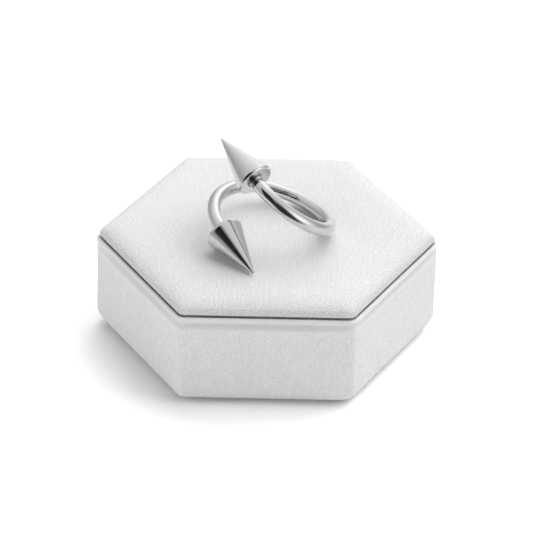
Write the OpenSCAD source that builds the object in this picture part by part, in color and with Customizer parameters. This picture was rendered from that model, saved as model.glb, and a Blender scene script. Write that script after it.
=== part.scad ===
// Spiral barbell with two screwed on cone spikes, lying on a padded hexagonal display block.
// Sizes are millimetres. The origin is the middle of the block's underside, +Z is up and -Y is the front.

/* [Wire] */
// Diameter of the round wire
wire_d = 1.6; // [1.4:0.1:2]
// Radius of the loop at its middle turn, to the middle of the wire
loop_r = 6.3; // [5.5:0.1:7]
// Share by which the loop is wider at its lower end and narrower at its upper end
loop_spread = 0.055; // [0:0.005:0.1]
// Angle through which the wire is wound
wind_angle = 351; // [340:1:360]
// Rise of the wire along the loop's own axis, from end to end
loop_rise = 7.4; // [6.5:0.1:9]
// Rise that moves from the ends of the wire to its middle
rise_ease = 1.75; // [0:0.05:2.2]
// Distance that the middle of the loop sags below its ends
rise_sag = 0.25; // [0:0.05:0.5]
// Straight length of wire before the lower shoulder
lower_straight = 0.1; // [0.1:0.1:1]
// Straight length of wire before the upper shoulder
upper_straight = 0.7; // [0.1:0.1:1]
// Diameter of the turned down stud at each end of the wire
stud_d = 1.2; // [0.8:0.1:1.2]
// Length of each stud, from the wire's shoulder
stud_len = 3; // [2:0.1:3.2]

/* [Spikes] */
// Widest diameter of a cone spike
spike_d = 4.5; // [4:0.1:5]
// Length of a spike from its widest rim to its point
spike_len = 6.7; // [6:0.1:9]
// Radius of the rounded back edge of a spike
spike_edge = 0.33; // [0.1:0.01:0.4]
// Radius of the blunted point
point_r = 0.14; // [0.1:0.01:0.25]
// Clearance between a stud and the bore around it
bore_clear = 0.05; // [0.03:0.01:0.1]

/* [Collars] */
// Distance from the wire's shoulder to the back of the spike, which the collar fills
neck_len = 0.4; // [0.4:0.05:1]
// Diameter of a collar over its ribs
collar_d = 2.1; // [1.9:0.05:2.4]
// Number of turned grooves in a collar
groove_count = 3; // [1:1:4]
// Depth of a turned groove
groove_depth = 0.07; // [0.03:0.01:0.1]
// Gap that is left between a collar and its neighbours
fit_gap = 0.04; // [0.02:0.01:0.05]

/* [Placing] */
// Middle of the loop from the middle of the block, to the right
loop_x = 1.15; // [-2:0.05:3]
// Middle of the loop from the middle of the block, to the back
loop_y = -1; // [-3:0.1:1]
// Tilt of the loop's axis to the right
lean_right = 28; // [26:0.1:31]
// Tilt of the loop's axis to the front
lean_front = 1.4; // [0:0.1:5]
// Angle at which the wire starts behind the lower spike
start_angle = -144; // [-150:0.5:-135]
// Gap between the jewel and the pad that it lies on
rest_gap = 0.05; // [0.02:0.01:0.1]

/* [Block] */
// Width of the hexagonal block across its flat sides
block_across = 35; // [32:0.5:40]
// Height of the rim
rim_h = 12.05; // [11:0.05:13]
// Radius of the upright corners
corner_r = 1.2; // [0.8:0.1:2]
// Radius of the rolled lower edge
foot_r = 1.9; // [1:0.1:2.5]
// Radius of the rolled outer edge of the rim
rim_r = 0.6; // [0.5:0.05:0.85]
// Width of the rim, from the wall to the pad's recess
rim_w = 1; // [0.9:0.05:1.4]
// Depth of the recess that holds the pad
recess_depth = 3; // [2:0.1:4]

/* [Pad] */
// Distance that the belly of the pad stays behind the wall of the block
belly_inset = 0.35; // [0.3:0.05:0.8]
// Height of the pad's belly above the rim
belly_h = 0.15; // [0.1:0.05:0.5]
// Height of the rolled side above the belly
roll_h = 1; // [0.8:0.05:1.8]
// Depth of the rolled side, from the belly inwards
roll_w = 0.9; // [0.7:0.05:1.5]
// Height of the crown above the rolled side
crown_h = 0.4; // [0.2:0.05:1]
// Distance from the belly at which the crown is level
crown_w = 6; // [5:0.5:9]
// Clearance between the pad and its recess
recess_clear = 0.1; // [0.05:0.05:0.3]

/* [Hidden] */
wire_r = wire_d / 2;
stud_r = stud_d / 2;
bore_r = stud_r + bore_clear;
spike_r = spike_d / 2;
collar_r = collar_d / 2;
bore_spare = 0.2;
spike_depth = stud_len - neck_len + bore_spare;
overcut = 1;
edge_arc_steps = 4;
point_arc_steps = 3;
flange_share = 0.3;
// A groove's corners: share of the groove's depth, share of its pitch
groove_corners = [[1, 0.35], [1, 0.65], [0, 1]];
wire_sides = 16;
wire_steps = 72;
turned_fn = 96;
block_a = block_across / 2;
recess_a = block_a - rim_w;
belly_a = block_a - belly_inset;
pad_top = rim_h + belly_h + roll_h + crown_h;
edge_steps = 5;
corner_steps = 4;
crown_steps = 6;
tuck_steps = 4;
edge_bevel = 0.15;
plug_gap = 0.05;
pad_lip = 0.06;
corner_least = 0.35;
corner_growth = 1.1;
roundest = 0.9;
steel = [0.8, 0.8, 0.81];
cloth = [0.93, 0.93, 0.93];

// Vectors

function unit(v) = v / norm(v);
function about_x(v, a) = [v.x, v.y * cos(a) - v.z * sin(a), v.y * sin(a) + v.z * cos(a)];
function about_y(v, a) = [v.x * cos(a) + v.z * sin(a), v.y, v.z * cos(a) - v.x * sin(a)];
function leaned(v) = about_y(about_x(v, lean_front), lean_right);

// Line of the wire, with u running from 0 at the lower end to 1 at the upper end

function angle_at(u) = start_angle - wind_angle * u;
function radius_at(u) = loop_r * (1 - loop_spread * (2 * u - 1));
function rise_at(u) =
    let (s = 2 * u - 1)
    loop_rise / 2 * s + rise_ease * (s - pow(s, 3)) - rise_sag * (1 - s * s);
function helix_at(u) = leaned([
    radius_at(u) * cos(angle_at(u)),
    radius_at(u) * sin(angle_at(u)),
    rise_at(u)
]);
function way_at(u) = let (step = 0.0001) unit(helix_at(u + step) - helix_at(u - step));
function outward_at(u) =
    let (radial = leaned([cos(angle_at(u)), sin(angle_at(u)), 0]), way = way_at(u))
    unit(radial - way * (radial * way));

steps = [for (i = [0:wire_steps]) i / wire_steps];
lower_way = -way_at(0);
upper_way = way_at(1);
lower_end = helix_at(0) + lower_way * lower_straight;
rim_along = neck_len + spike_edge;
wire_low = min([for (u = steps) helix_at(u).z]) - wire_r;
rim_low = (lower_end + lower_way * rim_along).z - spike_r * norm([lower_way.x, lower_way.y]);
point_low = (lower_end + lower_way * (rim_along + spike_len - point_r)).z - point_r;
loop_middle = [loop_x, loop_y, pad_top + rest_gap - min(wire_low, rim_low, point_low)];
lower_shoulder = loop_middle + lower_end;
upper_shoulder = loop_middle + helix_at(1) + upper_way * upper_straight;

// A closed skin over rings of points that all have the same number of points

function skin_faces(rings, count) = concat(
    [[for (j = [0:count - 1]) j]],
    [for (i = [0:rings - 2], j = [0:count - 1])
        let (k = (j + 1) % count)
        [(i + 1) * count + j, (i + 1) * count + k, i * count + k, i * count + j]],
    [[for (j = [count - 1:-1:0]) (rings - 1) * count + j]]
);
module skin(rings) {
    polyhedron(
        points = [for (ring = rings) each ring],
        faces = skin_faces(len(rings), len(rings[0])),
        convexity = 6
    );
}

// Ring of the wire: centre, direction of the wire, outward direction and radius

function wire_ring(centre, way, outward, radius) =
    let (other = cross(way, outward))
    [for (j = [0:wire_sides - 1])
        let (a = 360 * j / wire_sides)
        centre + radius * (cos(a) * outward + sin(a) * other)];

// Round wire wound into the loop, with a shoulder and a stud at each end

module spiral_wire() {
    color(steel)
        skin(concat(
            [wire_ring(lower_shoulder + lower_way * stud_len, way_at(0), outward_at(0), stud_r)],
            [for (r = [stud_r, wire_r]) wire_ring(lower_shoulder, way_at(0), outward_at(0), r)],
            [for (u = steps) wire_ring(loop_middle + helix_at(u), way_at(u), outward_at(u), wire_r)],
            [for (r = [wire_r, stud_r]) wire_ring(upper_shoulder, way_at(1), outward_at(1), r)],
            [wire_ring(upper_shoulder + upper_way * stud_len, way_at(1), outward_at(1), stud_r)]
        ));
}

// Stands children on a shoulder of the wire, with their +Z away from the wire

module on_shoulder(shoulder, way) {
    translate(shoulder)
        rotate([0, acos(way.z), atan2(way.y, way.x)])
            children();
}

// Cone spike with a rounded back edge, a blunt point and a blind bore for the stud

module spike() {
    point_z = spike_edge + spike_len;
    slope = atan2(spike_r - point_r, spike_len - point_r);
    edge = [for (i = [0:edge_arc_steps])
        let (a = 90 * i / edge_arc_steps)
        [spike_r - spike_edge * (1 - sin(a)), spike_edge * (1 - cos(a))]];
    point = [for (i = [0:point_arc_steps])
        let (a = slope + (90 - slope) * i / point_arc_steps)
        [point_r * cos(a), point_z - point_r * (1 - sin(a))]];
    color(steel)
        translate([0, 0, neck_len])
            difference() {
                rotate_extrude($fn = turned_fn)
                    polygon(concat([[0, 0]], edge, point));
                translate([0, 0, -overcut])
                    cylinder(r = bore_r, h = spike_depth + overcut, $fn = turned_fn);
            }
}

// Ring between the wire's shoulder and the spike: a smooth flange, then turned grooves

module collar() {
    length = neck_len - 2 * fit_gap;
    flange = length * flange_share;
    pitch = (length - flange) / groove_count;
    color(steel)
        translate([0, 0, fit_gap])
            rotate_extrude($fn = turned_fn)
                polygon(concat(
                    [[bore_r, 0], [collar_r - groove_depth, 0], [collar_r, groove_depth], [collar_r, flange]],
                    [for (i = [0:groove_count - 1], corner = groove_corners)
                        [collar_r - groove_depth * corner[0], flange + pitch * (i + corner[1])]],
                    [[bore_r, length]]
                ));
}

module upper_spike() {
    on_shoulder(upper_shoulder, upper_way)
        spike();
}

module lower_spike() {
    on_shoulder(lower_shoulder, lower_way)
        spike();
}

module upper_collar() {
    on_shoulder(upper_shoulder, upper_way)
        collar();
}

module lower_collar() {
    on_shoulder(lower_shoulder, lower_way)
        collar();
}

// Hexagonal ring with rounded corners: distance to its flat sides, corner radius and height

function hexagon_ring(flat, corner, z) =
    let (middle = (flat - corner) / cos(30))
    [for (k = [0:5], j = [0:corner_steps])
        let (a = 60 * k - 30 + 60 * j / corner_steps)
        [middle * cos(60 * k) + corner * cos(a), middle * sin(60 * k) + corner * sin(a), z]];
function inset_corner(inset) = max(corner_least, corner_r - inset);

// Cloth covered block, with a rolled foot, a rolled rim and the recess for the pad

module display_base() {
    quarter = [for (i = [0:edge_steps]) 90 * i / edge_steps];
    foot = [for (a = quarter) [foot_r * (1 - sin(a)), foot_r * (1 - cos(a))]];
    rim = [for (a = quarter) [rim_r * (1 - cos(a)), rim_h - rim_r * (1 - sin(a))]];
    mouth = [
        [rim_w - edge_bevel / 3, rim_h - edge_bevel / 3],
        [rim_w, rim_h - edge_bevel],
        [rim_w, rim_h - recess_depth]
    ];
    color(cloth)
        skin([for (row = concat(foot, rim, mouth))
            hexagon_ring(block_a - row[0], inset_corner(row[0]), row[1])]);
}

// Padded top: a board in the recess, a bellied side and a low crown

function crown_at(inset) = crown_h * (1 - pow(1 - min(1, inset / crown_w), 2));
function top_corner(flat) =
    min(flat * roundest, inset_corner(belly_inset) + corner_growth * (belly_a - flat));

module display_pad() {
    board_a = recess_a - recess_clear;
    board = [[board_a, rim_h - recess_depth + plug_gap], [board_a, rim_h - edge_bevel]];
    tuck = [for (i = [1:tuck_steps])
        let (share = i / (tuck_steps + 1))
        [board_a + (belly_a - board_a) * share, rim_h + pad_lip + (belly_h - pad_lip) * pow(share, 2)]];
    roll = [for (i = [0:edge_steps + 1])
        let (a = 90 * i / (edge_steps + 1), inset = roll_w * (1 - cos(a)))
        [belly_a - inset, rim_h + belly_h + roll_h * sin(a) + crown_at(inset)]];
    crown = [for (i = [1:crown_steps])
        let (inset = roll_w + (crown_w - roll_w) * i / crown_steps)
        [belly_a - inset, rim_h + belly_h + roll_h + crown_at(inset)]];
    color(cloth)
        skin(concat(
            [for (row = concat(board, tuck)) hexagon_ring(row[0], inset_corner(block_a - row[0]), row[1])],
            [for (row = concat(roll, crown)) hexagon_ring(row[0], top_corner(row[0]), row[1])]
        ));
}

spiral_wire();
upper_spike();
lower_spike();
upper_collar();
lower_collar();
display_base();
display_pad();
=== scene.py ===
import math
from collections import namedtuple

import bpy
import numpy as np
from mathutils import Matrix, Vector, noise


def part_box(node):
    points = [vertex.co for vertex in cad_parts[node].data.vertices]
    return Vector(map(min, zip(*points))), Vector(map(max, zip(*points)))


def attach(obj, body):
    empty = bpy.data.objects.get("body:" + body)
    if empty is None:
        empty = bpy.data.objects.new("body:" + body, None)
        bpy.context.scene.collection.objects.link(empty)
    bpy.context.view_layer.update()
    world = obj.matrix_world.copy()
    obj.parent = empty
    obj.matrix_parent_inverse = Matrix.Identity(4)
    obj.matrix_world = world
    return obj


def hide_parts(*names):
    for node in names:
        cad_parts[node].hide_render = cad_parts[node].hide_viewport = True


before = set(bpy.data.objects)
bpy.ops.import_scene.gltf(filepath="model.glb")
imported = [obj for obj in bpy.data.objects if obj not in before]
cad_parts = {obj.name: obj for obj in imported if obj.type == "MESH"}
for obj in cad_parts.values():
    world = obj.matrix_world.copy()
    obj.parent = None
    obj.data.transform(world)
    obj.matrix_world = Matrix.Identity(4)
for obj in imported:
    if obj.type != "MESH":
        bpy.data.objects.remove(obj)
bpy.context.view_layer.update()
MM = 0.001

# Camera, as the picture was taken: 32 degrees above the block, from its front
CAMERA_TARGET = Vector((-0.015, 0.0, 8.046)) * MM
CAMERA_DISTANCE = 471.3 * MM
CAMERA_ELEVATION = 32.21
CAMERA_AZIMUTH = 0.63
CAMERA_ROLL = 1.5
CAMERA_LENS = 270.14
SENSOR_WIDTH = 36
NEAREST_SEEN = 0.01
FARTHEST_SEEN = 20

# Wire, in millimetres, as the wound loop of the part
WIRE_R = 0.8
LOOP_R = 6.3
LOOP_SPREAD = 0.055
LOOP_RISE = 7.4
RISE_EASE = 1.75
RISE_SAG = 0.25
START_ANGLE = -144.0
WIND_ANGLE = 351.0
LEAN_FRONT = 1.4
LEAN_RIGHT = 28.0
LOOP_X = 1.15
LOOP_Y = -1.0
LOWER_STRAIGHT = 0.1
UPPER_STRAIGHT = 0.7
WIRE_SIDES = 48
WIRE_STEPS = 300

# Shoulders and threaded studs at the ends of the wire. The thread fades towards the shoulder and the
# tip, where TIP_THREAD of its depth is left. The holds are rings that keep the shoulder's face flat.
SHOULDER_EDGE = 0.06
SHOULDER_EDGE_STEPS = 4
INNER_HOLD = 0.05
OUTER_HOLD = 0.03
STUD_R = 0.6
STUD_LENGTH = 3.0
THREAD_PITCH = 0.3
THREAD_DEPTH = 0.06
THREAD_FADE = 0.5
TIP_FADE = 0.3
TIP_THREAD = 0.1
THREAD_ROWS = 90

# Spikes and collars, in millimetres from the shoulder of the wire
NECK_LENGTH = 0.4
SPIKE_R = 2.25
SPIKE_EDGE = 0.33
SPIKE_LENGTH = 6.7
POINT_R = 0.14
POINT_TIP_R = 0.002
BORE_R = 0.65
BORE_EDGE = 0.08
BORE_DEPTH = 2.8
BORE_TIP = 0.3
BORE_TIP_R = 0.01
COLLAR_R = 1.05
COLLAR_GAP = 0.04
FLANGE_LENGTH = 0.1
FLANGE_EDGE = 0.04
GROOVES = 3
GROOVE_DEPTH = 0.07
GROOVE_STEPS = 12
LATHE_SIDES = 160

# Hexagons of block and pad. A size ending in A is the distance from the middle to a flat side.
BLOCK_A = 17.5
CORNER_R = 1.2
SMALLEST_CORNER = 0.35
SIDE_POINTS = 44
CORNER_POINTS = 12

# Foot of the block, with its corners, which grow with the inset
FOOT_R = 1.75
FOOT_GAP = 0.24
FOOT_INSET = 3.2
FOOT_TOP = 2
FOOT_CORNER_GROWTH = 0.35
FOOT_STEPS = 14
UNDER_BEVEL = 0.05
UNDER_STEP = 0.03

# Walls, with their unevenness as rows of depth, size and seed
WALL_INSET = 0.06
WALL_ROWS = 14
WALL_FROM_FOOT = 0.4
WALL_TO_CREASE = 0.1
WALL_WAVES = [(0.03, 7.0, 3.1), (0.012, 2.2, 8.7)]
WALL_WAVES_FROM = 1.0
WALL_WAVES_INSET = 0.03

# Crease under the lip. Near a corner it is shallower, and most of all at the two side corners. Rings
# that lie further in than OUTSIDE_BAND from the wall, as inside of the lip, have none.
CREASE_Z = 10.96
CREASE_DEPTH = 0.44
CREASE_BELOW = 0.85
CREASE_ABOVE = 0.5
CREASE_CORNER_SPAN = 12
CREASE_CORNER_LOSS = 0.2
CREASE_SIDE_LOSS = 0.65
CREASE_SIDE_POWER = 6
CREASE_ROWS = 34
OUTSIDE_BAND = 0.1

# Lip, and the recess inside of it. LIP_FALL goes in from the lip's middle and down from its top, and
# RECESS_EDGE goes out from the wall of the recess and down from the lip's top.
LIP_R = 0.34
LIP_TOP = 11.8
LIP_STEPS = 16
LIP_FALL = [(0.12, 0.06), (0.2, 0.18)]
RECESS_EDGE = [(0.05, 0.22), (0.0, 0.3)]
RECESS_A = 16.5
RECESS_FLOOR = 9.0

# Pad, from its board in the recess over the seam, the belly and the roll to the crown
PAD_BOARD_A = 16.4
PAD_BOARD_EDGE = 0.1
PAD_BOARD_CORNER = 0.4
PAD_BOARD_LIFT = 0.05
PAD_BOARD_DROP = 0.2
PAD_FOOT_Z = 12.01
PAD_FOOT_RISE = 0.02
PAD_FOOT_INSET = 0.3
PAD_FOOT_CORNERS = (0.5, 0.7)
PAD_BELLY_A = 17.15
PAD_BELLY_Z = 12.3
PAD_BELLY_BULGE = 0.16
PAD_BELLY_CORNER = 0.8
PAD_BELLY_ANGLES = np.linspace(-75, -9, 9)
PAD_ROLL_H = 1.2
PAD_ROLL_W = 3.1
PAD_ROLL_ANGLES = np.concatenate([np.linspace(0, 24, 9), np.linspace(24, 90, 20)[1:]])
PAD_CROWN_W = 7.5
PAD_CROWN_ROWS = 14
PAD_MIDDLE_A = 0.3
PAD_MIDDLE_ROWS = 16
PAD_CORNER = 0.85
CORNER_GROWTH = 1.05
CORNER_SHARE = 0.9
PAD_CLEARANCE = 0.01
PAD_UNEVEN = 0.02
PAD_UNEVEN_INSET = 0.4
PAD_WAVE_SIZE = 4.0
PAD_WAVE_SEED = 5.3


def unit(v):
    return v / np.linalg.norm(v, axis=-1, keepdims=True)


# Meshes from rings

def mesh_piece(name, points, faces, uvs=None, smooth=True):
    mesh = bpy.data.meshes.new(name)
    mesh.from_pydata([tuple(p) for p in np.asarray(points) * MM], [], faces)
    if uvs is not None:
        layer = mesh.uv_layers.new(name="cloth")
        for polygon, corners in zip(mesh.polygons, uvs):
            for loop, uv in zip(polygon.loop_indices, corners):
                layer.data[loop].uv = uv
    mesh.polygons.foreach_set("use_smooth", [smooth] * len(mesh.polygons))
    mesh.update()
    piece = bpy.data.objects.new(name, mesh)
    bpy.context.scene.collection.objects.link(piece)
    return piece


def skin(name, rings, ring_uvs=None):
    """A closed skin over rings with the same number of points each, with a flat face at each end.

    A face is a list of corners, each a ring and a place in it. The place after the last one is the
    first point again, with a uv of its own.
    """
    rings = np.asarray(rings)
    count = rings.shape[1]
    last = len(rings) - 1
    corners = [[(0, j) for j in reversed(range(count))]]
    for i in range(last):
        for j in range(count):
            corners.append([(i, j), (i, j + 1), (i + 1, j + 1), (i + 1, j)])
    corners.append([(last, j) for j in range(count)])
    faces = [[i * count + j % count for i, j in face] for face in corners]
    uvs = None
    if ring_uvs is not None:
        uvs = [[tuple(ring_uvs[i][j]) for i, j in face] for face in corners]
    return mesh_piece(name, rings.reshape(-1, 3), faces, uvs)


def arc(centre, radius, start, end, steps):
    """Points of an arc, with angles in degrees."""
    angles = np.radians(np.linspace(start, end, steps + 1))
    return [(centre[0] + radius * math.cos(a), centre[1] + radius * math.sin(a)) for a in angles]


# Wire, where u runs from 0 at the lower end of the loop to 1 at the upper one

def leaned(v):
    """Points or directions of the upright helix, leaned to the front and then to the right."""
    x, y, z = np.moveaxis(np.asarray(v, float), -1, 0)
    a, b = math.radians(LEAN_FRONT), math.radians(LEAN_RIGHT)
    y, z = y * math.cos(a) - z * math.sin(a), y * math.sin(a) + z * math.cos(a)
    x, z = x * math.cos(b) + z * math.sin(b), z * math.cos(b) - x * math.sin(b)
    return np.stack([x, y, z], axis=-1)


def helix(u):
    s = 2 * u - 1
    t = np.radians(START_ANGLE - WIND_ANGLE * u)
    radius = LOOP_R * (1 - LOOP_SPREAD * s)
    rise = LOOP_RISE / 2 * s + RISE_EASE * (s - s**3) - RISE_SAG * (1 - s**2)
    return leaned(np.stack([radius * np.cos(t), radius * np.sin(t), rise], axis=-1))


def way(u):
    """Direction of the wire."""
    step = 1e-5
    return unit(helix(u + step) - helix(u - step))


def outward(u):
    """Direction square to the wire, away from the middle of the loop."""
    t = np.radians(START_ANGLE - WIND_ANGLE * u)
    radial = leaned(np.stack([np.cos(t), np.sin(t), 0 * t], axis=-1))
    along = way(u)
    return unit(radial - along * (radial * along).sum(axis=-1, keepdims=True))


STEPS = np.linspace(0, 1, WIRE_STEPS + 1)
LOWER_END = np.array(0.0)
UPPER_END = np.array(1.0)
WIRE_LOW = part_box("spiral_wire")[0][2] / MM
LOOP_MIDDLE = np.array([LOOP_X, LOOP_Y, WIRE_LOW + WIRE_R - helix(STEPS)[:, 2].min()])
LOWER_WAY = -way(LOWER_END)
UPPER_WAY = way(UPPER_END)
LOWER_SHOULDER = LOOP_MIDDLE + helix(LOWER_END) + LOWER_WAY * LOWER_STRAIGHT
UPPER_SHOULDER = LOOP_MIDDLE + helix(UPPER_END) + UPPER_WAY * UPPER_STRAIGHT
ENDS = [("upper", UPPER_SHOULDER, UPPER_WAY), ("lower", LOWER_SHOULDER, LOWER_WAY)]


def wire_ring(centre, u, radius):
    along, out = way(u), outward(u)
    other = np.cross(along, out)
    angles = np.linspace(0, 2 * math.pi, WIRE_SIDES, endpoint=False)[:, None]
    radius = np.broadcast_to(radius, WIRE_SIDES)[:, None]
    return centre + radius * (np.cos(angles) * out + np.sin(angles) * other)


def stud_rings(shoulder, outwards, u):
    """Rings of a threaded stud, from its tip, which is chamfered, to the shoulder."""
    angles = np.linspace(0, 2 * math.pi, WIRE_SIDES, endpoint=False)
    rings = []
    for i in range(THREAD_ROWS + 1):
        z = STUD_LENGTH * (1 - i / THREAD_ROWS)
        fade = min(1, z / THREAD_FADE, (STUD_LENGTH - z) / TIP_FADE + TIP_THREAD)
        groove = 0.5 + 0.5 * np.cos(2 * math.pi * z / THREAD_PITCH - angles)
        radius = STUD_R - THREAD_DEPTH * groove * fade
        if i == 0:
            radius = radius - THREAD_DEPTH
        rings.append(wire_ring(shoulder + outwards * z, u, radius))
    return rings


def shoulder_rings(shoulder, outwards, u):
    """Rings of the shoulder, from the stud to the full wire, over a small rounded edge."""
    face = [STUD_R, STUD_R + INNER_HOLD, WIRE_R - SHOULDER_EDGE - OUTER_HOLD]
    rings = [wire_ring(shoulder, u, r) for r in face]
    edge_middle = (WIRE_R - SHOULDER_EDGE, -SHOULDER_EDGE)
    for r, z in arc(edge_middle, SHOULDER_EDGE, start=90, end=0, steps=SHOULDER_EDGE_STEPS):
        rings.append(wire_ring(shoulder + outwards * z, u, r))
    return rings


def make_wire():
    rings = stud_rings(LOWER_SHOULDER, LOWER_WAY, LOWER_END)[:-1]
    rings += shoulder_rings(LOWER_SHOULDER, LOWER_WAY, LOWER_END)
    rings += [wire_ring(LOOP_MIDDLE + helix(u), u, WIRE_R) for u in STEPS]
    rings += shoulder_rings(UPPER_SHOULDER, UPPER_WAY, UPPER_END)[::-1]
    rings += stud_rings(UPPER_SHOULDER, UPPER_WAY, UPPER_END)[::-1][1:]
    return skin("steel_wire", rings)


# Turned pieces: a closed profile of (radius, height) points, spun about the axis of a stud

def turned(name, profile, shoulder, along):
    side = unit(np.cross(along, [0.0, 0.0, 1.0]))
    other = np.cross(along, side)
    angles = np.linspace(0, 2 * math.pi, LATHE_SIDES, endpoint=False)[:, None]
    spokes = np.cos(angles) * side + np.sin(angles) * other
    points = np.concatenate([shoulder + along * z + spokes * r for r, z in profile])
    faces = []
    for i in range(len(profile)):
        here = i * LATHE_SIDES
        there = (i + 1) % len(profile) * LATHE_SIDES
        for j in range(LATHE_SIDES):
            k = (j + 1) % LATHE_SIDES
            faces.append([here + j, here + k, there + k, there + j])
    return mesh_piece(name, points, faces)


def held(start, end, share=0.02):
    """A straight stretch of a profile, with a point near each end that keeps its shading flat."""
    start, end = np.array(start), np.array(end)
    return [tuple(start + (end - start) * t) for t in (share, 0.5, 1 - share)]


def make_spike(name, shoulder, along):
    back = NECK_LENGTH
    rim_z = back + SPIKE_EDGE
    point_z = rim_z + SPIKE_LENGTH
    slope = math.degrees(math.atan2(SPIKE_R - POINT_R, SPIKE_LENGTH - POINT_R))
    edge = arc((SPIKE_R - SPIKE_EDGE, rim_z), SPIKE_EDGE, start=-90, end=slope, steps=10)
    point = arc((0, point_z - POINT_R), POINT_R, start=slope, end=89, steps=8)
    inner_middle = (BORE_R + BORE_EDGE, back + BORE_EDGE)
    inner_edge = arc(inner_middle, BORE_EDGE, start=180, end=270, steps=4)
    floor = [(BORE_R, back + BORE_DEPTH), (BORE_TIP_R, back + BORE_DEPTH + BORE_TIP)]
    profile = inner_edge + held(inner_edge[-1], edge[0]) + edge + held(edge[-1], point[0]) + point
    profile += [(POINT_TIP_R, point_z)] + floor[::-1] + held(floor[0], inner_edge[0])
    return turned(name, profile, shoulder, along)


def make_collar(name, shoulder, along):
    low, high = COLLAR_GAP, NECK_LENGTH - COLLAR_GAP
    flange_top = low + FLANGE_LENGTH
    rim_r = COLLAR_R - FLANGE_EDGE
    profile = [(BORE_R, low)] + held((BORE_R, low), (rim_r, low), share=0.1)
    profile += arc((rim_r, low + FLANGE_EDGE), FLANGE_EDGE, start=-90, end=0, steps=5)
    profile += arc((rim_r, flange_top - FLANGE_EDGE), FLANGE_EDGE, start=0, end=60, steps=4)
    for i in range(GROOVES * GROOVE_STEPS + 1):
        z = flange_top + (high - flange_top) * i / (GROOVES * GROOVE_STEPS)
        r = COLLAR_R - GROOVE_DEPTH * (0.5 + 0.5 * math.cos(2 * math.pi * i / GROOVE_STEPS))
        profile.append((r, z))
    profile += held((COLLAR_R - GROOVE_DEPTH, high), (BORE_R, high), share=0.1)
    profile.append((BORE_R, high))
    return turned(name, profile, shoulder, along)


# Cloth covered block and pad, from hexagonal rings with rounded corners

def ray(degrees):
    """Direction at an angle from +X."""
    a = math.radians(degrees)
    return np.array([math.cos(a), math.sin(a)])


def hexagon(flat, corner):
    """Points of a rounded hexagon in order round it, from where the corner at +X begins.

    flat is the distance from the middle to a flat side, and corner is the radius of the corners.
    """
    middle = (flat - corner) / math.cos(math.radians(30))
    points = []
    for k in range(6):
        for j in range(CORNER_POINTS + 1):
            points.append(middle * ray(60 * k) + corner * ray(60 * k - 30 + 60 * j / CORNER_POINTS))
        start = points[-1]
        end = middle * ray(60 * k + 60) + corner * ray(60 * k + 30)
        for j in range(1, SIDE_POINTS):
            points.append(start + (end - start) * j / SIDE_POINTS)
    return np.array(points)


def girth(points):
    """Distance round a ring up to each point, and once more for the closing point."""
    closed = np.concatenate([points, points[:1]])
    return np.concatenate([[0], np.cumsum(np.linalg.norm(np.diff(closed, axis=0), axis=1))])


def wavering(point, size, seed):
    """Soft unevenness from -1 to 1 at a point in millimetres."""
    return noise.noise(Vector((point[0] / size + seed, point[1] / size, point[2] / size)))


def profile_lengths(profile):
    """Distance along a profile up to each of its points, which is the length of the cloth there."""
    steps = np.linalg.norm(np.diff(np.array([p[:2] for p in profile]), axis=0), axis=1)
    return np.concatenate([[0], np.cumsum(steps)])


def crease_share(points):
    """How deep the crease under the lip is at each point of a ring, as a share of its full depth."""
    azimuth = np.degrees(np.arctan2(points[:, 1], points[:, 0])) % 360
    to_corner = np.abs((azimuth + 30) % 60 - 30)
    near = np.clip(1 - to_corner / CREASE_CORNER_SPAN, 0, 1)
    near = near * near * (3 - 2 * near)
    sideways = np.abs(np.cos(np.radians(azimuth))) ** CREASE_SIDE_POWER
    return 1 - near * (CREASE_CORNER_LOSS + CREASE_SIDE_LOSS * sideways)


def base_profile():
    """Outline of the block as (distance to a flat side, height), from under the foot to the recess."""
    wall_a = BLOCK_A - WALL_INSET
    under_a = BLOCK_A - FOOT_INSET
    profile = [(under_a - 2 * UNDER_BEVEL, 0.0), (under_a, UNDER_BEVEL)]
    profile.append((under_a + UNDER_BEVEL, FOOT_GAP - UNDER_STEP))
    foot_middle = (wall_a - FOOT_R, FOOT_GAP + FOOT_R)
    profile += arc(foot_middle, FOOT_R, start=-88, end=0, steps=FOOT_STEPS)
    crease_low = CREASE_Z - CREASE_BELOW
    wall_low = FOOT_GAP + FOOT_R + WALL_FROM_FOOT
    profile += [(wall_a, z) for z in np.linspace(wall_low, crease_low - WALL_TO_CREASE, WALL_ROWS)]
    lip_a, lip_z = BLOCK_A - LIP_R, LIP_TOP - LIP_R
    for z in np.linspace(crease_low, lip_z, CREASE_ROWS):
        lip_share = max(0, (z - CREASE_Z) / (lip_z - CREASE_Z))
        profile.append((wall_a + (BLOCK_A - wall_a) * lip_share, z))
    profile += arc((lip_a, lip_z), LIP_R, start=6, end=92, steps=LIP_STEPS)
    profile += [(lip_a - inwards, LIP_TOP - down) for inwards, down in LIP_FALL]
    profile += [(RECESS_A + outwards, LIP_TOP - down) for outwards, down in RECESS_EDGE]
    profile.append((RECESS_A, RECESS_FLOOR))
    return profile


def base_corner(flat, z):
    """Corner radius of a ring of the block."""
    inset = BLOCK_A - flat
    if z < FOOT_TOP:
        return CORNER_R + FOOT_CORNER_GROWTH * inset
    return max(SMALLEST_CORNER, CORNER_R - inset)


def creased(ring, flat, z):
    """The ring, moved in where it crosses the crease on the outside of the block."""
    off = (z - CREASE_Z) / (CREASE_BELOW if z < CREASE_Z else CREASE_ABOVE)
    outside = flat > BLOCK_A - WALL_INSET - OUTSIDE_BAND
    if abs(off) >= 1 or not outside:
        return ring
    dip = CREASE_DEPTH * (0.5 + 0.5 * math.cos(math.pi * off)) * crease_share(ring)
    return ring * (1 - dip / np.linalg.norm(ring, axis=1))[:, None]


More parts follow.
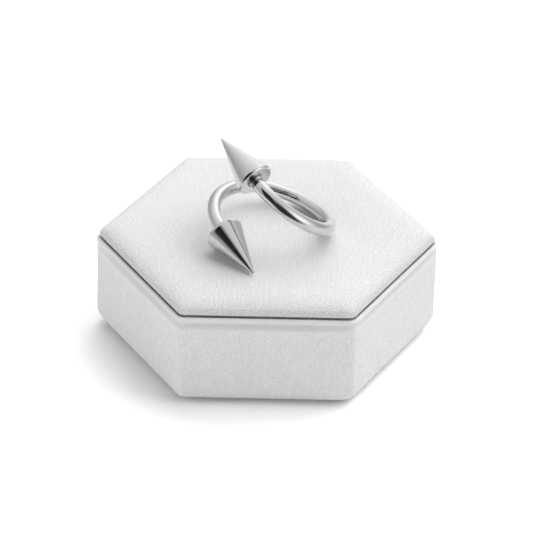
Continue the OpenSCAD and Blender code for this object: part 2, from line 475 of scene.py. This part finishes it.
def make_base():
    profile = base_profile()
    around = girth(hexagon(BLOCK_A, CORNER_R))
    rings, uvs = [], []
    for (flat, z), length in zip(profile, profile_lengths(profile)):
        ring = creased(hexagon(flat, base_corner(flat, z)), flat, z)
        points = np.column_stack([ring, np.full(len(ring), z)])
        if WALL_WAVES_FROM < z < CREASE_Z - CREASE_BELOW:
            for p in points:
                waves = sum(depth * wavering(p, size, seed) for depth, size, seed in WALL_WAVES)
                p[:2] *= 1 + (waves - WALL_WAVES_INSET) / np.linalg.norm(p[:2])
        rings.append(points)
        uvs.append([(g, length) for g in around])
    return skin("covered_base", rings, uvs)


PAD_TOP = WIRE_LOW - PAD_CLEARANCE
CROWN_H = PAD_TOP - PAD_BELLY_Z - PAD_ROLL_H


def crown(inset):
    """Height of the crown over the roll, by the distance in from the pad's widest line."""
    return CROWN_H * (1 - (1 - min(1, inset / PAD_CROWN_W)) ** 2)


def pad_corner(flat):
    """Corner radius of a ring on the upper side of the pad."""
    return min(flat * CORNER_SHARE, PAD_CORNER + CORNER_GROWTH * (PAD_BELLY_A - flat))


def pad_profile():
    """Outline of the pad as (distance to a flat side, height, corner radius), from below to its middle."""
    first_corner, second_corner = PAD_FOOT_CORNERS
    profile = [
        (PAD_BOARD_A, RECESS_FLOOR + PAD_BOARD_LIFT, PAD_BOARD_CORNER),
        (PAD_BOARD_A, PAD_FOOT_Z - PAD_BOARD_DROP, PAD_BOARD_CORNER),
        (PAD_BOARD_A + PAD_BOARD_EDGE, PAD_FOOT_Z, first_corner),
        (PAD_BELLY_A - PAD_FOOT_INSET, PAD_FOOT_Z + PAD_FOOT_RISE, second_corner),
    ]
    reach = PAD_BELLY_Z - PAD_FOOT_Z - PAD_FOOT_RISE
    for a in np.radians(PAD_BELLY_ANGLES):
        flat = PAD_BELLY_A - PAD_BELLY_BULGE * (1 - math.cos(a))
        profile.append((flat, PAD_BELLY_Z + reach * math.sin(a), PAD_BELLY_CORNER))
    upper = []
    for a in np.radians(PAD_ROLL_ANGLES):
        inset = PAD_ROLL_W * (1 - math.cos(a))
        upper.append((PAD_BELLY_A - inset, PAD_BELLY_Z + PAD_ROLL_H * math.sin(a) + crown(inset)))
    for inset in np.linspace(PAD_ROLL_W, PAD_CROWN_W, PAD_CROWN_ROWS)[1:]:
        upper.append((PAD_BELLY_A - inset, PAD_BELLY_Z + PAD_ROLL_H + crown(inset)))
    for flat in np.linspace(PAD_BELLY_A - PAD_CROWN_W, PAD_MIDDLE_A, PAD_MIDDLE_ROWS)[1:]:
        upper.append((flat, PAD_TOP))
    return profile + [(flat, z, pad_corner(flat)) for flat, z in upper]


def make_pad():
    profile = pad_profile()
    lengths = profile_lengths(profile)
    rings, uvs = [], []
    for (flat, z, corner), length in zip(profile, lengths):
        ring = hexagon(flat, corner)
        points = np.column_stack([ring, np.full(len(ring), z)])
        if flat < PAD_BELLY_A - PAD_UNEVEN_INSET and z > PAD_BELLY_Z:
            for p in points:
                p[2] += PAD_UNEVEN * 0.5 * (wavering(p, PAD_WAVE_SIZE, PAD_WAVE_SEED) - 1)
        rings.append(points)
        laid_a = lengths[-1] - length + PAD_MIDDLE_A
        laid = hexagon(laid_a, min(laid_a * CORNER_SHARE, corner))
        uvs.append(np.concatenate([laid, laid[:1]]))
    return skin("covered_pad", rings, uvs)


# Steel

STEEL_COLOUR = (0.72, 0.72, 0.73, 1)
STEEL_ROUGHNESS = (0.05, 0.085)
HAZE_SCALE = 900.0
HAZE_SPAN = (0.3, 0.7)
POLISH_SCALE = 2500.0
POLISH_DEPTH = 0.02
POLISH_STRENGTH = 0.05

# Cloth, in millimetres. A weave has the width of a thread, the length of a thread's float, its step
# from thread to thread, as a share of a float, and the looseness of that step. crepe is the share of
# the uneven grain, and contrast is how far the colour follows the height, as shade painted darker in
# the hollows. Where the cloth slopes, shade is painted into its tone, which falls by fall times the
# slope and no further than to lowest.
Weave = namedtuple("Weave", "width length step looseness")
Cloth = namedtuple("Cloth", "weave crepe contrast lowest fall")
BLOCK_CLOTH = Cloth(Weave(0.118, 0.56, -0.44, 0.12), crepe=0.14, contrast=0.62, lowest=0.88, fall=0.5)
PAD_CLOTH = Cloth(Weave(0.145, 0.42, 0.36, 0.26), crepe=0.5, contrast=0.46, lowest=0.78, fall=0.7)
CLOTH_TONE = 0.57
CLOTH_DEPTH = 0.05
CLOTH_BUMP_STRENGTH = 0.5
CLOTH_ROUGHNESS = 0.62
CLOTH_SPECULAR = 0.3
SHEEN = 0.15
SHEEN_ROUGHNESS = 0.5
START_SEED = 4.0
FULLNESS_SEED = 9.0
LEAST_FULLNESS = 0.78
FULLNESS_RANGE = 0.44
SWELL_POWER = 0.7
WOBBLE_SCALE = 1.3
WOBBLE = (0.1, 0.16, 0.0)
GRAIN_STRETCH = (1.0, 1.9, 1.0)
GRAIN_SCALE = 3.4
GRAIN_HEIGHT = 2.4
CREPE_LOSS = 0.4
MIDDLE_HEIGHT = 0.55
CLOUD_SCALE = 160.0
CLOUD_SPAN = (0.2, 0.8)
CLOUD_TONES = (0.99, 1.01)

# Stretches of the block's cloth, along the cloth from under the foot: the dark painted shade under the
# foot gives way to the cloth, then painted shade in the fold under the lip, and the ribs where the
# threads are pulled tight over the lip
FOOT_SHADE_END = (2.0, 3.0)
FOOT_SHADE_TONE = 0.3
FOLD_MIDDLE = 13.4
FOLD_HALF = 0.75
FOLD_SHADE_TONE = 0.87
RIBS_FROM = 12.6
RIBS_TO = 15.2
RIBS_FADE = 0.1
RIBS_FIRST_FADE = 0.3
RIB_PITCH = 0.25
RIB_HEIGHT = 0.2
RIB_SHARE = 0.8


def socket_in(tree, target, value):
    if isinstance(value, bpy.types.NodeSocket):
        tree.links.new(value, target)
    else:
        target.default_value = value


def maths(tree, operation, *values):
    made = tree.nodes.new("ShaderNodeMath")
    made.operation = operation
    for target, value in zip(made.inputs, values):
        socket_in(tree, target, value)
    return made.outputs[0]


def plus(tree, a, b):
    return maths(tree, "ADD", a, b)


def minus(tree, a, b):
    return maths(tree, "SUBTRACT", a, b)


def times(tree, a, b):
    return maths(tree, "MULTIPLY", a, b)


def between(tree, value, low, high, out_low=0.0, out_high=1.0):
    """A smooth step from out_low to out_high, as the value goes from low to high."""
    made = tree.nodes.new("ShaderNodeMapRange")
    made.interpolation_type = "SMOOTHSTEP"
    settings = {"Value": value, "From Min": low, "From Max": high, "To Min": out_low, "To Max": out_high}
    for name, setting in settings.items():
        socket_in(tree, made.inputs[name], setting)
    return made.outputs["Result"]


def axes_of(tree, vector):
    made = tree.nodes.new("ShaderNodeSeparateXYZ")
    tree.links.new(vector, made.inputs[0])
    return made.outputs


def noise_texture(tree, where, scale, detail=2.0, rough=0.5):
    made = tree.nodes.new("ShaderNodeTexNoise")
    made.inputs["Scale"].default_value = scale
    made.inputs["Detail"].default_value = detail
    made.inputs["Roughness"].default_value = rough
    tree.links.new(where, made.inputs["Vector"])
    return made.outputs


def new_material(name):
    made = bpy.data.materials.new(name)
    made.use_nodes = True
    return made, made.node_tree.nodes["Principled BSDF"]


def add_bump(tree, shader, height, strength, depth):
    made = tree.nodes.new("ShaderNodeBump")
    made.inputs["Strength"].default_value = strength
    made.inputs["Distance"].default_value = depth * MM
    tree.links.new(height, made.inputs["Height"])
    tree.links.new(made.outputs["Normal"], shader.inputs["Normal"])


def steel_material():
    made, shader = new_material("polished_steel")
    tree = made.node_tree
    where = tree.nodes.new("ShaderNodeTexCoord").outputs["Object"]
    haze = noise_texture(tree, where, HAZE_SCALE, detail=3.0)["Fac"]
    polish = noise_texture(tree, where, POLISH_SCALE, detail=4.0, rough=0.6)["Fac"]
    shader.inputs["Metallic"].default_value = 1.0
    shader.inputs["Base Color"].default_value = STEEL_COLOUR
    roughness = between(tree, haze, *HAZE_SPAN, *STEEL_ROUGHNESS)
    tree.links.new(roughness, shader.inputs["Roughness"])
    add_bump(tree, shader, polish, POLISH_STRENGTH, POLISH_DEPTH)
    return made


def fraction(tree, value):
    """Whole part and rest of a value."""
    whole = maths(tree, "FLOOR", value)
    return whole, minus(tree, value, whole)


def speckle(tree, across, along, seed):
    """A random value from 0 to 1 for each pair of whole numbers."""
    where = tree.nodes.new("ShaderNodeCombineXYZ")
    for target, value in zip(where.inputs, (across, along, seed)):
        socket_in(tree, target, value)
    made = tree.nodes.new("ShaderNodeTexWhiteNoise")
    made.noise_dimensions = "3D"
    tree.links.new(where.outputs["Vector"], made.inputs["Vector"])
    return made.outputs["Value"]


def swell(tree, rest):
    """A rounded swell over a rest that runs from 0 to 1."""
    wave = maths(tree, "SINE", times(tree, rest, math.pi))
    return maths(tree, "POWER", maths(tree, "MAXIMUM", wave, 0.0), SWELL_POWER)


def weave_height(tree, across, along, weave):
    """Threads side by side, each with floats that step along from thread to thread."""
    thread, across_rest = fraction(tree, maths(tree, "DIVIDE", across, weave.width))
    loose = times(tree, speckle(tree, thread, 0.0, START_SEED), weave.looseness)
    start = plus(tree, times(tree, thread, weave.step), loose)
    place = plus(tree, maths(tree, "DIVIDE", along, weave.length), start)
    one_float, along_rest = fraction(tree, place)
    more = times(tree, speckle(tree, thread, one_float, FULLNESS_SEED), FULLNESS_RANGE)
    body = times(tree, swell(tree, across_rest), swell(tree, along_rest))
    return times(tree, body, plus(tree, LEAST_FULLNESS, more))


def wobbled(tree, laid):
    """The place on the flat cloth, moved a little so that the threads don't run dead straight."""
    noise_colour = noise_texture(tree, laid, WOBBLE_SCALE, detail=3.0)["Color"]
    made = tree.nodes.new("ShaderNodeVectorMath")
    made.operation = "MULTIPLY_ADD"
    tree.links.new(noise_colour, made.inputs[0])
    made.inputs[1].default_value = WOBBLE
    tree.links.new(laid, made.inputs[2])
    return made.outputs["Vector"]


def crepe_grain(tree, laid):
    """Uneven grain from 0 to 1, finer along the cloth than across it."""
    made = tree.nodes.new("ShaderNodeVectorMath")
    made.operation = "MULTIPLY"
    tree.links.new(laid, made.inputs[0])
    made.inputs[1].default_value = GRAIN_STRETCH
    return noise_texture(tree, made.outputs["Vector"], GRAIN_SCALE, detail=1.0)["Fac"]


def cloth_height(tree, laid, cloth):
    """Height of the cloth's surface, as a share of its depth: the weave and the uneven grain."""
    place = axes_of(tree, wobbled(tree, laid))
    threads = weave_height(tree, place["X"], place["Y"], cloth.weave)
    threads = minus(tree, times(tree, threads, 1 - CREPE_LOSS * cloth.crepe), MIDDLE_HEIGHT)
    grain = minus(tree, crepe_grain(tree, laid), 0.5)
    return plus(tree, threads, times(tree, grain, GRAIN_HEIGHT * cloth.crepe))


def with_ribs(tree, height, laid):
    """The height, with upright ribs in its place where the cloth goes over the lip."""
    across, along = laid["X"], laid["Y"]
    zone = between(tree, along, RIBS_FROM - RIBS_FIRST_FADE, RIBS_FROM + RIBS_FADE)
    zone = times(tree, zone, between(tree, along, RIBS_TO - RIBS_FADE, RIBS_TO + RIBS_FADE, 1.0, 0.0))
    ribs = maths(tree, "SINE", times(tree, across, 2 * math.pi / RIB_PITCH))
    change = minus(tree, times(tree, ribs, RIB_HEIGHT), height)
    return plus(tree, height, times(tree, change, times(tree, zone, RIB_SHARE)))


def painted_slope_shade(tree, lowest, fall):
    """Painted shade by the slope of the surface: 1 where it is level, and less where it is turned down."""
    normal = tree.nodes.new("ShaderNodeNewGeometry").outputs["Normal"]
    slope = minus(tree, 1.0, axes_of(tree, normal)["Z"])
    return maths(tree, "MAXIMUM", minus(tree, 1.0, times(tree, slope, fall)), lowest)


def with_painted_fold_and_foot_shade(tree, shade, along):
    """The shade, with shade painted darker in the fold under the lip and on the underside and lower edge
    of the foot.
    """
    off = maths(tree, "ABSOLUTE", minus(tree, along, FOLD_MIDDLE))
    shade = times(tree, shade, between(tree, off, 0.0, FOLD_HALF, FOLD_SHADE_TONE, 1.0))
    return times(tree, shade, between(tree, along, *FOOT_SHADE_END, FOOT_SHADE_TONE, 1.0))


def paint(tree, shader, tone, shade):
    made = tree.nodes.new("ShaderNodeMix")
    made.data_type = "RGBA"
    made.blend_type = "MULTIPLY"
    made.inputs["Factor"].default_value = 1.0
    made.inputs["A"].default_value = (tone, tone, tone, 1)
    tree.links.new(shade, made.inputs["B"])
    tree.links.new(made.outputs["Result"], shader.inputs["Base Color"])


def cloth_material(name, cloth, over_lip=False):
    """Satin cloth, a weave with an uneven grain, laid out in millimetres of flat cloth."""
    made, shader = new_material(name)
    tree = made.node_tree
    where = tree.nodes.new("ShaderNodeTexCoord").outputs
    height = cloth_height(tree, where["UV"], cloth)
    if over_lip:
        laid = axes_of(tree, where["UV"])
        height = with_ribs(tree, height, laid)
    add_bump(tree, shader, height, CLOTH_BUMP_STRENGTH, CLOTH_DEPTH)
    cloud = noise_texture(tree, where["Object"], CLOUD_SCALE)["Fac"]
    # painted shade: the colour follows the height of the weave and grain, darker in the hollows between
    # threads
    shade = plus(tree, 1.0, times(tree, height, cloth.contrast))
    shade = times(tree, shade, between(tree, cloud, *CLOUD_SPAN, *CLOUD_TONES))
    # painted shade: the cloth's colour is darker where it slopes down
    shade = times(tree, shade, painted_slope_shade(tree, cloth.lowest, cloth.fall))
    if over_lip:
        # painted shade: darker in the fold under the lip and on the underside of the foot
        shade = with_painted_fold_and_foot_shade(tree, shade, laid["Y"])
    paint(tree, shader, CLOTH_TONE, shade)
    shader.inputs["Roughness"].default_value = CLOTH_ROUGHNESS
    shader.inputs["Specular IOR Level"].default_value = CLOTH_SPECULAR
    shader.inputs["Sheen Weight"].default_value = SHEEN
    shader.inputs["Sheen Roughness"].default_value = SHEEN_ROUGHNESS
    return made


# Stage: floor, studio surroundings, light and camera

FLOOR_SIZE = 4.0
FLOOR_COLOUR = (0.95, 0.95, 0.95, 1)
FLOOR_ROUGHNESS = 0.9

# Degrees in a radian
DEGREES = 180 / math.pi

# Key light, in degrees, metres and watts
KEY = {"azimuth": 50, "elevation": 60, "distance": 0.6, "size": 0.5, "power": 0.25}

# The surroundings are soft panels, each painted over those before it. name tells the reader which one
# it is. middle is an azimuth, which is 0 behind the block, 90 on its right and 180 in front of it. half
# is half of the width, low and high are elevations, and soft and soft_up are the widths of the soft
# edges, sideways and up and down. These are in degrees.
Panel = namedtuple("Panel", "name middle half low high soft soft_up bright")

# What the steel mirrors
REFLECTED_BASE = 0.4
REFLECTED = [
    Panel("ceiling", 0, 200, 30, 120, 10, 80, 0.75),
    Panel("table", 0, 200, -120, -10, 10, 25, 0.9),
    Panel("back wall", 15, 15, -10, 75, 50, 55, 1.3),
    Panel("high, back right", 40, 65, 45, 80, 120, 20, 1.05),
    Panel("back softbox", 30, 15, 20, 65, 15, 15, 1.35),
    Panel("right", 135, 70, 10, 70, 20, 30, 0.7),
    Panel("right softbox", 125, 30, -5, 35, 40, 30, 1.4),
    Panel("dark behind the camera", 180, 40, -40, 50, 40, 50, 0.03),
    Panel("dark beside the camera", -150, 25, 0, 60, 10, 20, 0.02),
]

# What lights the cloth and the floor: bright behind and on the right, and dim on the left and in front.
# Low down it is bright on the left and in front, and little over the base on the right.
LIT_BASE = 1.0
LIT = [
    Panel("bright back and right", 50, 80, 15, 80, 75, 30, 3.5),
    Panel("dim left and front", -135, 100, 15, 80, 65, 25, 0.1),
    Panel("low left", -125, 50, -90, 25, 50, 20, 3.5),
    Panel("low front", 180, 30, -90, 20, 40, 20, 2.5),
    Panel("low right", 110, 40, -90, 20, 40, 20, 1.3),
]


def make_floor():
    half = FLOOR_SIZE / 2 / MM
    corners = [(-half, -half, 0), (half, -half, 0), (half, half, 0), (-half, half, 0)]
    floor = mesh_piece("floor", corners, [[0, 1, 2, 3]], smooth=False)
    made, shader = new_material("pale_floor")
    shader.inputs["Base Color"].default_value = FLOOR_COLOUR
    shader.inputs["Roughness"].default_value = FLOOR_ROUGHNESS
    shader.inputs["Specular IOR Level"].default_value = 0.0
    floor.data.materials.append(made)
    floor.visible_glossy = False


def panel_mask(tree, direction, elevation, panel):
    """How far a direction lies inside a panel, from 0 to 1."""
    x, y = direction["X"], direction["Y"]
    c, s = math.cos(math.radians(panel.middle)), math.sin(math.radians(panel.middle))
    right = minus(tree, times(tree, x, c), times(tree, y, s))
    ahead = plus(tree, times(tree, x, s), times(tree, y, c))
    off = times(tree, maths(tree, "ABSOLUTE", maths(tree, "ARCTAN2", right, ahead)), DEGREES)
    edge, edge_up = panel.soft / 2, panel.soft_up / 2
    mask = between(tree, off, panel.half - edge, panel.half + edge, 1.0, 0.0)
    above = between(tree, elevation, panel.low - edge_up, panel.low + edge_up)
    below = between(tree, elevation, panel.high - edge_up, panel.high + edge_up, 1.0, 0.0)
    return times(tree, times(tree, mask, above), below)


def tent(tree, base, panels):
    """Brightness of the surroundings by direction."""
    direction = axes_of(tree, tree.nodes.new("ShaderNodeTexCoord").outputs["Generated"])
    elevation = times(tree, maths(tree, "ARCSINE", direction["Z"]), DEGREES)
    level = base
    for panel in panels:
        mask = panel_mask(tree, direction, elevation, panel)
        level = plus(tree, level, times(tree, minus(tree, panel.bright, level), mask))
    return level


def make_world():
    """One set of panels lights the scene. Glossy rays see the other one, so the steel mirrors that."""
    world = bpy.data.worlds.new("studio")
    bpy.context.scene.world = world
    world.use_nodes = True
    tree = world.node_tree
    mirrored = tree.nodes.new("ShaderNodeLightPath").outputs["Is Glossy Ray"]
    lit = tent(tree, LIT_BASE, LIT)
    change = minus(tree, tent(tree, REFLECTED_BASE, REFLECTED), lit)
    background = tree.nodes["Background"]
    tree.links.new(plus(tree, lit, times(tree, change, mirrored)), background.inputs["Strength"])
    background.inputs["Color"].default_value = (1, 1, 1, 1)


def make_area_light(name, azimuth, elevation, distance, size, power):
    """A round light that shines at the origin and isn't seen itself, nor mirrored by the steel."""
    a, e = math.radians(azimuth), math.radians(elevation)
    data = bpy.data.lights.new(name, "AREA")
    data.shape = "DISK"
    data.size = size
    data.energy = power
    light = bpy.data.objects.new(name, data)
    light.location = distance * Vector((math.sin(a) * math.cos(e), math.cos(a) * math.cos(e), math.sin(e)))
    light.rotation_euler = (-light.location).to_track_quat("-Z", "Y").to_euler()
    light.visible_glossy = False
    light.visible_camera = False
    bpy.context.scene.collection.objects.link(light)


def make_camera():
    e, a, r = (math.radians(v) for v in (CAMERA_ELEVATION, CAMERA_AZIMUTH, CAMERA_ROLL))
    ahead = Vector((math.sin(a) * math.cos(e), math.cos(a) * math.cos(e), -math.sin(e)))
    right = Vector((math.cos(a), -math.sin(a), 0))
    up = right.cross(ahead)
    right, up = right * math.cos(r) + up * math.sin(r), up * math.cos(r) - right * math.sin(r)
    data = bpy.data.cameras.new("camera")
    data.lens = CAMERA_LENS
    data.sensor_width = SENSOR_WIDTH
    data.clip_start = NEAREST_SEEN
    data.clip_end = FARTHEST_SEEN
    camera = bpy.data.objects.new("camera", data)
    place = Matrix.Translation(CAMERA_TARGET - ahead * CAMERA_DISTANCE)
    camera.matrix_world = place @ Matrix((right, up, -ahead)).transposed().to_4x4()
    bpy.context.scene.collection.objects.link(camera)
    bpy.context.scene.camera = camera


def dress(piece, material, body, node):
    piece.data.materials.append(material)
    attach(piece, body)
    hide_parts(node)


make_camera()
make_floor()
make_world()
make_area_light("key", **KEY)
bpy.context.scene.view_settings.view_transform = "Standard"

# The upper spike moves. The lower one is held fast, because its point lies against the pad.
SPIKE_BODIES = {"upper": "upper_spike", "lower": "display"}

steel = steel_material()
dress(make_wire(), steel, "display", "spiral_wire")
for end, shoulder, along in ENDS:
    spike = make_spike(f"steel_{end}_spike", shoulder, along)
    dress(spike, steel, SPIKE_BODIES[end], f"{end}_spike")
for end, shoulder, along in ENDS:
    collar = make_collar(f"steel_{end}_collar", shoulder, along)
    dress(collar, steel, "display", f"{end}_collar")
base = make_base()
block_cloth = cloth_material("block_cloth", BLOCK_CLOTH, over_lip=True)
dress(base, block_cloth, "display", "display_base")
pad = make_pad()
pad_cloth = cloth_material("pad_cloth", PAD_CLOTH)
dress(pad, pad_cloth, "display", "display_pad")
